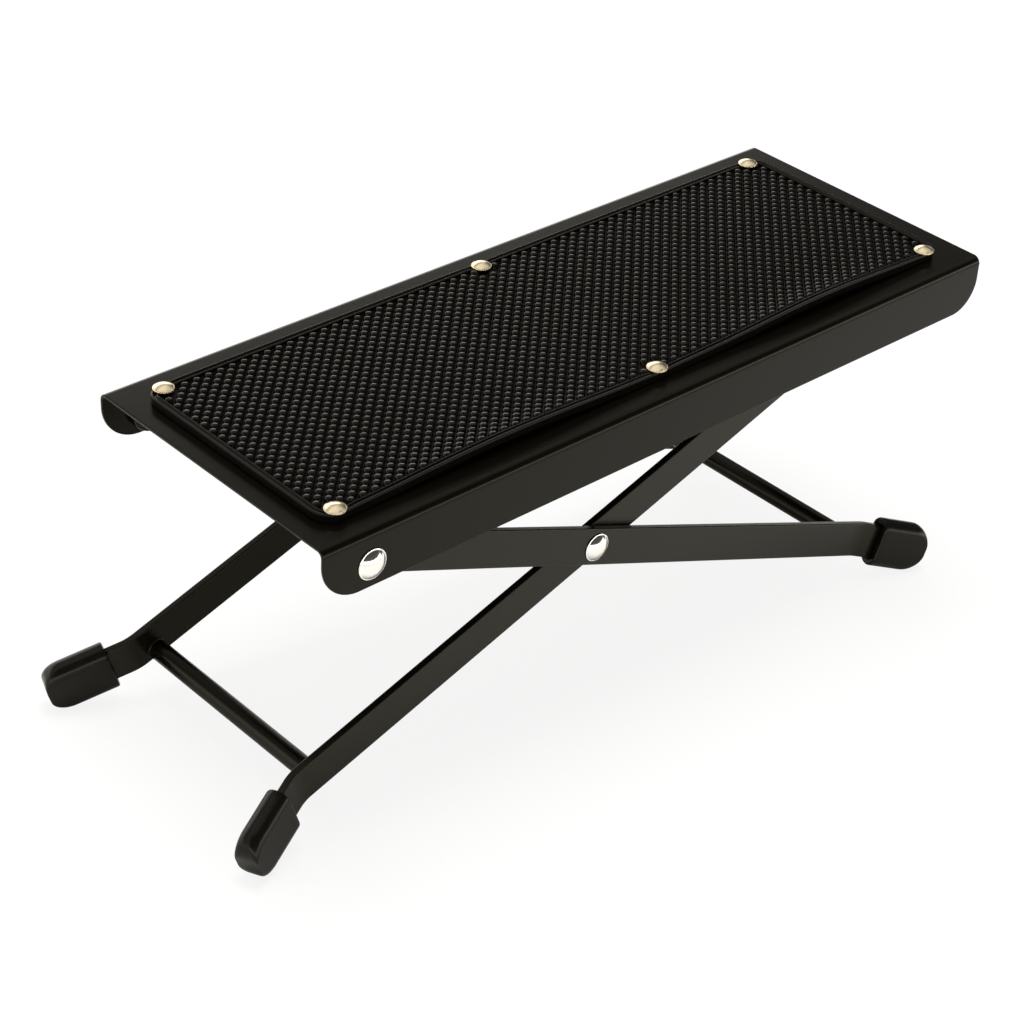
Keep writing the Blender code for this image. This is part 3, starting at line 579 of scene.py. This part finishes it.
# Outer legs. Flat steel strip, 12 by 2.4 mm, with one end round. The upper end is set out against the flange
# and the foot is bent outwards. A round bar is welded across near the feet, and all is coated black.
STRIP_HALF_WIDTH = 0.006
STRIP_HALF_THICKNESS = 0.0012
STRIP_EDGE = 0.00045
STRIP_FACE_INSET = 0.0004
STRIP_BEND = 0.0145
STRIP_IN_CAP = 0.0170
OUTER_END_Y = 0.0477
OUTER_Y = 0.0418
OUTER_HOLE_RISE = 0.00065
UPPER_END = 0.0074
SET_OUT_START = 0.0062
SET_OUT_SLOPE = math.radians(40)
SET_OUT_BEND = 0.0042
OUTER_FOOT_BEND = 0.1352
OUTER_SPLAY = math.radians(16.7)
OUTER_FOOT_TO_CAP = 0.0077
DRILL_REACH = 0.003
ROD_RADIUS = 0.0031
ROD_WELD = 0.0004
ROD_IN_LEG = 0.00002
OUTER_ROD = 0.1293

# The legs' coat has lightened edges too: partly wear, partly a painted highlight along them
leg_coat = surface("black_powder_coat_legs", COAT_COLOUR, roughness=0.25, index=1.325, tint=COAT_TINT,
                   drift=0.03, spread=0.12, grain=0.0006, depth=0.000004, peel=0.000012,
                   wear_and_sheen=(COAT_WEAR_AND_EDGE_SHEEN, 0.20, 0.4))
outer_rise = hinge_line_slope + math.asin(OUTER_HOLE_RISE / FLANGE_HINGE_TO_CROSS)
outer_hole = -math.sqrt(FLANGE_HINGE_TO_CROSS ** 2 - OUTER_HOLE_RISE ** 2)


def bent_line(corners, radii, steps=12):
    """Line through the corners in the plan, each inner corner an arc. Returns points and normals to them.

    Arc point = centre + (start - centre) turned by a share of the sweep.
    """
    corners = np.asarray(corners, float)
    points = [corners[:1]]
    for before, at, after, radius in zip(corners, corners[1:], corners[2:], radii):
        back = (before - at) / np.linalg.norm(before - at)
        ahead = (after - at) / np.linalg.norm(after - at)
        half = math.acos(np.clip(back @ ahead, -1, 1)) / 2
        centre = at + (back + ahead) / np.linalg.norm(back + ahead) * radius / math.sin(half)
        start = at + back * radius / math.tan(half) - centre
        end = at + ahead * radius / math.tan(half) - centre
        sweep = math.atan2(start[0] * end[1] - start[1] * end[0], start @ end) * np.linspace(0, 1, steps + 1)
        points.append(centre + gathered(start[0] * np.cos(sweep) - start[1] * np.sin(sweep),
                                        start[0] * np.sin(sweep) + start[1] * np.cos(sweep)))
    points.append(corners[-1:])
    line = np.concatenate(points)
    step = np.diff(line, axis=0)
    step /= np.linalg.norm(step, axis=1)[:, None]
    heading = np.concatenate([step[:1], step[:-1] + step[1:], step[-1:]])
    heading /= np.linalg.norm(heading, axis=1)[:, None]
    return line, gathered(-heading[:, 1], heading[:, 0])


def strip(name, corners, radii, rise):
    """Flat bar with a full round at its first end, drawn on the cross hinge.

    The half section from the middle of one broad face, over the long edge, to the middle of the other is
    carried up one side, round the end and down the other side:
    point = centre line + distance * direction of the side + offset * normal of the broad face.
    """
    line, normal = bent_line(corners, radii)
    heading = (line[1] - line[0]) / np.linalg.norm(line[1] - line[0])
    line[0] += heading * STRIP_HALF_WIDTH
    turn = np.linspace(math.pi / 2, -math.pi / 2, 25)[1:-1]
    middle = np.concatenate([line[::-1], np.broadcast_to(line[0], (len(turn), 2)), line])
    face = np.concatenate([normal[::-1], np.broadcast_to(normal[0], (len(turn), 2)), normal])
    side = np.zeros((len(middle), 3))
    side[:len(line), 2] = 1
    side[-len(line):, 2] = -1
    side[len(line):-len(line), :2] = -heading * np.cos(turn)[:, None]
    side[len(line):-len(line), 2] = np.sin(turn)
    bend = np.linspace(math.pi / 2, 0, 6)
    over = STRIP_HALF_WIDTH - STRIP_EDGE + STRIP_EDGE * np.cos(bend)
    down = STRIP_HALF_THICKNESS - STRIP_EDGE + STRIP_EDGE * np.sin(bend)
    half_distance = np.concatenate([[0, over[0] - STRIP_FACE_INSET], over])
    half_offset = np.concatenate([[down[0], down[0]], down])
    distance = np.concatenate([half_distance, half_distance[::-1]])
    offset = np.concatenate([half_offset, -half_offset[::-1]])
    grid = (gathered(middle[:, 0], middle[:, 1], 0)[:, None] + distance[:, None] * side[:, None]
            + offset[:, None] * gathered(face[:, 0], face[:, 1], 0)[:, None])
    return skin(name, placed(grid, rise, cross_hinge), filled=True)


def rod(name, centre, half_length, weld):
    """Round bar across the footrest, flared at both ends by the weld's hollow fillet.

    Flare: radius = rod radius + weld * (1 - sin(a)), and distance from the middle = half length
    - weld * (1 - cos(a)).
    """
    bend = np.linspace(0, math.pi / 2, 8)
    flare = gathered(ROD_RADIUS + weld - weld * np.sin(bend), half_length - weld + weld * np.cos(bend))
    profile = np.concatenate([[(0.0, half_length)], flare, flare[::-1] * (1, -1), [(0.0, -half_length)]])
    return turned(name, profile, centre, (0, 1, 0))


set_out_run = (OUTER_END_Y - OUTER_Y) / math.tan(SET_OUT_SLOPE)
for side_name, side in SIDES:
    splay = np.array([math.cos(OUTER_SPLAY), side * math.sin(OUTER_SPLAY)])
    foot = np.array([OUTER_FOOT_BEND, side * OUTER_Y])
    outer_corners = [(outer_hole - UPPER_END, side * OUTER_END_Y),
                     (outer_hole + SET_OUT_START, side * OUTER_END_Y),
                     (outer_hole + SET_OUT_START + set_out_run, side * OUTER_Y),
                     foot, foot + splay * (OUTER_FOOT_TO_CAP + STRIP_IN_CAP)]
    leg = strip("outer_leg_%s_strip" % side_name, outer_corners, (SET_OUT_BEND, SET_OUT_BEND, STRIP_BEND),
                outer_rise)
    drills = [drill("upper_drill", flange_hinge + (0, side * OUTER_END_Y, 0), DRILL_REACH),
              drill("cross_drill", cross_hinge + (0, side * OUTER_Y, 0), DRILL_REACH)]
    even(shaped(leg, drills))
    fitted(leg, "outer_legs", leg_coat, ["outer_leg_" + side_name])
outer_rod_centre = placed((OUTER_ROD, 0, 0), outer_rise, cross_hinge)
outer_half = OUTER_Y - STRIP_HALF_THICKNESS + ROD_IN_LEG
outer_rod = rod("outer_cross_rod_welded", outer_rod_centre, outer_half, ROD_WELD)
fitted(outer_rod, "outer_legs", black_coat, ["outer_cross_rod"])

# Cross rivets. The same plated rivets, a little smaller, through both legs where they cross.
CROSS_HEAD_RADIUS = 0.0045
CROSS_HEAD_HEIGHT = 0.00228
CROSS_GRIP = 0.00542

cross_head = dome(CROSS_HEAD_RADIUS, CROSS_HEAD_HEIGHT, HEAD_EDGE)
for side_name, side in SIDES:
    plated_rivet("cross_rivet_" + side_name, "outer_legs", cross_hinge, side, OUTER_Y + STRIP_HALF_THICKNESS,
                 cross_head, CROSS_GRIP)

# Inner legs. The same strip, straight up to the latch bar and bent outwards at the foot, with a bar welded
# across near the feet and the latch bar across the upper ends.
LEG_GAP = 0.0003
INNER_Y = OUTER_Y - 2 * STRIP_HALF_THICKNESS - LEG_GAP
INNER_SLOPE = math.radians(18.87)
INNER_FOOT_BEND = 0.1141
INNER_SPLAY = math.radians(21.1)
INNER_FOOT_TO_CAP = 0.0074
INNER_ROD = (-0.1072, 0.0, -0.0036)
LATCH_WELD = 0.0012

inner_rise = INNER_SLOPE + tread_rise
for side_name, side in SIDES:
    splay = np.array([-math.cos(INNER_SPLAY), side * math.sin(INNER_SPLAY)])
    foot = np.array([-INNER_FOOT_BEND, side * INNER_Y])
    inner_corners = [(FLANGE_HINGE_TO_CROSS + UPPER_END, side * INNER_Y), foot,
                     foot + splay * (INNER_FOOT_TO_CAP + STRIP_IN_CAP)]
    leg = strip("inner_leg_%s_strip" % side_name, inner_corners, (STRIP_BEND,), inner_rise)
    even(shaped(leg, [drill("cross_drill", cross_hinge + (0, side * INNER_Y, 0), DRILL_REACH)]))
    fitted(leg, "inner_legs", leg_coat, ["inner_leg_" + side_name])
inner_half = INNER_Y - STRIP_HALF_THICKNESS + ROD_IN_LEG
inner_rod = rod("inner_cross_rod_welded", placed(INNER_ROD, inner_rise, cross_hinge), inner_half, ROD_WELD)
fitted(inner_rod, "inner_legs", black_coat, ["inner_cross_rod"])
latch_centre = placed((FLANGE_HINGE_TO_CROSS, 0, 0), inner_rise, cross_hinge)
latch_rod = rod("latch_bar_welded", latch_centre, inner_half, LATCH_WELD)
fitted(latch_rod, "inner_legs", black_coat, ["latch_bar"])

# Foot caps. Four moulded sleeves of black rubber pushed over the feet, flat on both broad sides and full
# round along the edges, with a thick rounded end.
CAP_LENGTH = 0.02022
CAP_HALF_WIDTH = 0.00853
CAP_HALF_THICKNESS = 0.0038
CAP_SIDE_ROUND = 0.0037
CAP_CORNER = 0.0064
CAP_END_EDGE = 0.0008
CAP_EASED_EDGE = 0.0007
SLOT_PLAY = 0.0002
SLOT_DEPTH = STRIP_IN_CAP + 0.0003
CAP_COLOUR = (0.0042, 0.0040, 0.0032)
CAP_WORN = (0.03, 0.029, 0.027)

# Slot sections are (distance along, opened by, corner radius), and mouth sections are (distance along,
# narrowed by, taken off the corner radius)
SLOT_SECTIONS = ((SLOT_DEPTH, 0.0, 0.0004), (0.0005, 0.0, 0.0004), (0.0001, 0.0003, 0.0006))
MOUTH_SECTIONS = ((0.0, 0.0005, 0.0006), (0.00012, 0.0002, 0.0003), (0.0005, 0.0, 0.0))


def cap_section(half_width, half_thickness, rounding, steps=10):
    """Rectangle with round corners as (across, wide) points, the same count for every size of it.

    Point = centre of the corner + rounding * (cos(a), sin(a)), a quarter turn for each corner.
    """
    turn = np.linspace(0, math.pi / 2, steps)
    loops = []
    for quarter, (a, b) in enumerate(((1, 1), (-1, 1), (-1, -1), (1, -1))):
        angle = turn + quarter * math.pi / 2
        loops.append(gathered(a * (half_thickness - rounding) + rounding * np.cos(angle),
                              b * (half_width - rounding) + rounding * np.sin(angle)))
    return np.concatenate(loops)


def foot_cap(name, mouth, heading, rise):
    """Sleeve along its foot: sections from the bottom of its slot, out over the lip, and back to the end.

    End: half width = cap's - corner * (1 - cos(a)), distance = length - corner * (1 - sin(a)), and the corner
    radius shrinks with cos(a) to the end's edge.
    """
    slot_width = STRIP_HALF_WIDTH + SLOT_PLAY
    slot_thickness = STRIP_HALF_THICKNESS + SLOT_PLAY
    sections = [(along, slot_width + more, slot_thickness + more, rounding)
                for along, more, rounding in SLOT_SECTIONS]
    sections += [(along, CAP_HALF_WIDTH - less, CAP_HALF_THICKNESS - less, CAP_SIDE_ROUND - sharper)
                 for along, less, sharper in MOUTH_SECTIONS]
    sections += [(share * (CAP_LENGTH - CAP_CORNER), CAP_HALF_WIDTH, CAP_HALF_THICKNESS, CAP_SIDE_ROUND)
                 for share in np.linspace(0, 1, 7)[1:]]
    for angle in np.linspace(0, math.pi / 2, 12)[1:]:
        rounding = CAP_END_EDGE + (CAP_SIDE_ROUND - CAP_END_EDGE) * math.cos(angle)
        wide = CAP_HALF_WIDTH - CAP_CORNER * (1 - math.cos(angle))
        sections.append((CAP_LENGTH - CAP_CORNER * (1 - math.sin(angle)), wide, CAP_HALF_THICKNESS, rounding))
    x = np.array([section[0] for section in sections])[:, None]
    y, z = np.moveaxis(np.array([cap_section(*section[1:]) for section in sections]), -1, 0)
    across = mouth[0] + x * heading[0] - y * heading[1]
    outward = mouth[1] + x * heading[1] + y * heading[0]
    return skin(name, placed(gathered(across, outward, z), rise, cross_hinge), loop=True, filled=True)


cap_rubber = surface("foot_cap_rubber", CAP_COLOUR, roughness=0.23, index=1.25, tint=RUBBER_TINT, drift=0.006,
                     spread=0.25, grain=0.0004, depth=0.00001, wear_and_sheen=(CAP_WORN, 0.6, 0.5))
for pair, way, bend_at, y, splay, to_cap, rise in (
        ("outer", 1, OUTER_FOOT_BEND, OUTER_Y, OUTER_SPLAY, OUTER_FOOT_TO_CAP, outer_rise),
        ("inner", -1, INNER_FOOT_BEND, INNER_Y, INNER_SPLAY, INNER_FOOT_TO_CAP, inner_rise)):
    for side_name, side in SIDES:
        heading = np.array([way * math.cos(splay), side * math.sin(splay)])
        mouth = np.array([way * bend_at, side * y]) + heading * to_cap
        cap = foot_cap("%s_foot_cap_%s_moulded" % (pair, side_name), mouth, heading, rise)
        even(eased(cap, CAP_EASED_EDGE, steps=4, sharp=50))
        fitted(cap, pair + "_legs", cap_rubber, ["%s_foot_cap_%s" % (pair, side_name)])

# Studio. A wide white floor under a tent of soft light that differs by direction, one broad lamp overhead and
# a camera at the angle and distance of the photograph.
FLOOR_HALF = 6.0
FLOOR_COLOUR = (0.93, 0.92, 0.90)
FLOOR_WASH = 0.86
LAMP_PLACE = np.array([0.05, 0.15, 2.0])
LAMP_AIM = np.array([0, 0, 0.05])
LAMP_SIDE = 0.9
LAMP_POWER = 30
CAMERA_PLACE = (-0.47348, -0.46494, 0.45182)
CAMERA_TURN = (58.2969, -5.0525, -42.1173)
CAMERA_LENS = 88.551
CAMERA_SENSOR = 36
CAMERA_CLIP = (0.05, 30)

# Tent sides are stops of (measure, brightness). The measure is a direction's height, and for the far side its
# height over its length across the footrest. Azimuths, in radians from +x, and heights part the sides.
NEAR_TENT = ((0.0, 4.0), (0.16, 4.0), (0.27, 0.08), (0.92, 0.06), (0.99, 0.95), (1.0, 0.95))
RIGHT_TENT = ((0.0, 0.12), (0.50, 0.12), (0.72, 0.60), (1.0, 0.90))
FAR_TENT = ((0.0, 2.2), (0.53, 2.2), (0.60, 0.50), (0.65, 0.22), (0.74, 0.32), (0.86, 1.0), (1.0, 1.0))
ZENITH = 0.95
NEAR_TO_RIGHT = (-0.52, -0.25)
RIGHT_TO_FAR = (0.60, 0.80)
SIDE_TO_ZENITH = (0.95, 0.99)
TENT_WARMTH = (1.0, 0.975, 0.93)

floor_x = np.array([-FLOOR_HALF, FLOOR_HALF])
studio_floor = skin("studio_floor", gathered(floor_x, floor_x[:, None], 0.0))
floor_paint = surface("white_floor_paint", FLOOR_COLOUR, roughness=0.9, index=1.1, drift=0.6, spread=0.004,
                      grain=0.01, depth=0.00001)
paint = floor_paint.node_tree
seen = paint.nodes.new("ShaderNodeLightPath").outputs["Is Camera Ray"]
share = node(paint, "ShaderNodeMath", {"operation": "MULTIPLY"}, {0: seen})
share.inputs[1].default_value = FLOOR_WASH
wash = paint.nodes.new("ShaderNodeEmission").outputs["Emission"]
washed = node(paint, "ShaderNodeMixShader", {}, {"Fac": share.outputs["Value"], 2: wash,
                                                 1: paint.nodes["Principled BSDF"].outputs["BSDF"]})
paint.links.new(washed.outputs["Shader"], paint.nodes["Material Output"].inputs["Surface"])
studio_floor.data.materials.append(floor_paint)

tent = bpy.data.worlds.new("light_tent")
bpy.context.scene.world = tent
tent.use_nodes = True
sky = tent.node_tree


def warm(brightness):
    """Colour of the tent's light: the brightness times the warmth of its cloth."""
    return (*(brightness * part for part in TENT_WARMTH), 1)


def tent_side(measure, stops):
    """Light of one side of the tent, in straight runs between its stops."""
    ramp = node(sky, "ShaderNodeValToRGB", {}, {"Fac": measure})
    while len(ramp.color_ramp.elements) < len(stops):
        ramp.color_ramp.elements.new(0.5)
    for element, (position, brightness) in zip(ramp.color_ramp.elements, stops):
        element.position = position
        element.color = warm(brightness)
    return ramp.outputs["Color"]


def soft_step(measure, span):
    """Share that rises smoothly from 0 to 1 over the span of the measure."""
    return ranged(sky, measure, span, kind="SMOOTHSTEP")


direction = sky.nodes.new("ShaderNodeTexCoord").outputs["Generated"]
parts = node(sky, "ShaderNodeSeparateXYZ", {}, {"Vector": direction}).outputs
angle = node(sky, "ShaderNodeMath", {"operation": "ARCTAN2"}, {0: parts["Y"], 1: parts["X"]})
azimuth = angle.outputs["Value"]
across = node(sky, "ShaderNodeVectorMath", {"operation": "MULTIPLY"}, {0: direction})
across.inputs[1].default_value = (0, 1, 1)
length = node(sky, "ShaderNodeVectorMath", {"operation": "LENGTH"}, {0: across.outputs["Vector"]})
lean = node(sky, "ShaderNodeMath", {"operation": "DIVIDE"}, {0: parts["Z"], 1: length.outputs["Value"]})
near_right = mixed(sky, soft_step(azimuth, NEAR_TO_RIGHT), tent_side(parts["Z"], NEAR_TENT),
                   tent_side(parts["Z"], RIGHT_TENT))
sides = mixed(sky, soft_step(azimuth, RIGHT_TO_FAR), near_right, tent_side(lean.outputs["Value"], FAR_TENT))
light = mixed(sky, soft_step(parts["Z"], SIDE_TO_ZENITH), sides, warm(ZENITH))
backdrop = mixed(sky, sky.nodes.new("ShaderNodeLightPath").outputs["Is Camera Ray"], light, (1, 1, 1, 1))
sky.links.new(backdrop, sky.nodes["Background"].inputs["Color"])

softbox = bpy.data.lights.new("overhead_softbox", "AREA")
softbox.shape = "RECTANGLE"
softbox.size = LAMP_SIDE
softbox.size_y = LAMP_SIDE
softbox.energy = LAMP_POWER
lamp = bpy.data.objects.new("overhead_softbox", softbox)
bpy.context.scene.collection.objects.link(lamp)
back = LAMP_PLACE - LAMP_AIM
lamp.location = LAMP_PLACE
lamp.rotation_euler = (math.atan2(math.hypot(back[0], back[1]), back[2]), 0,
                       math.atan2(back[1], back[0]) + math.pi / 2)
lamp.visible_glossy = False

camera = bpy.data.objects.new("camera", bpy.data.cameras.new("camera"))
bpy.context.scene.collection.objects.link(camera)
camera.location = CAMERA_PLACE
camera.rotation_euler = np.radians(CAMERA_TURN)
camera.data.sensor_width = CAMERA_SENSOR
camera.data.lens = CAMERA_LENS
camera.data.clip_start, camera.data.clip_end = CAMERA_CLIP
bpy.context.scene.camera = camera
bpy.context.scene.view_settings.view_transform = "Standard"
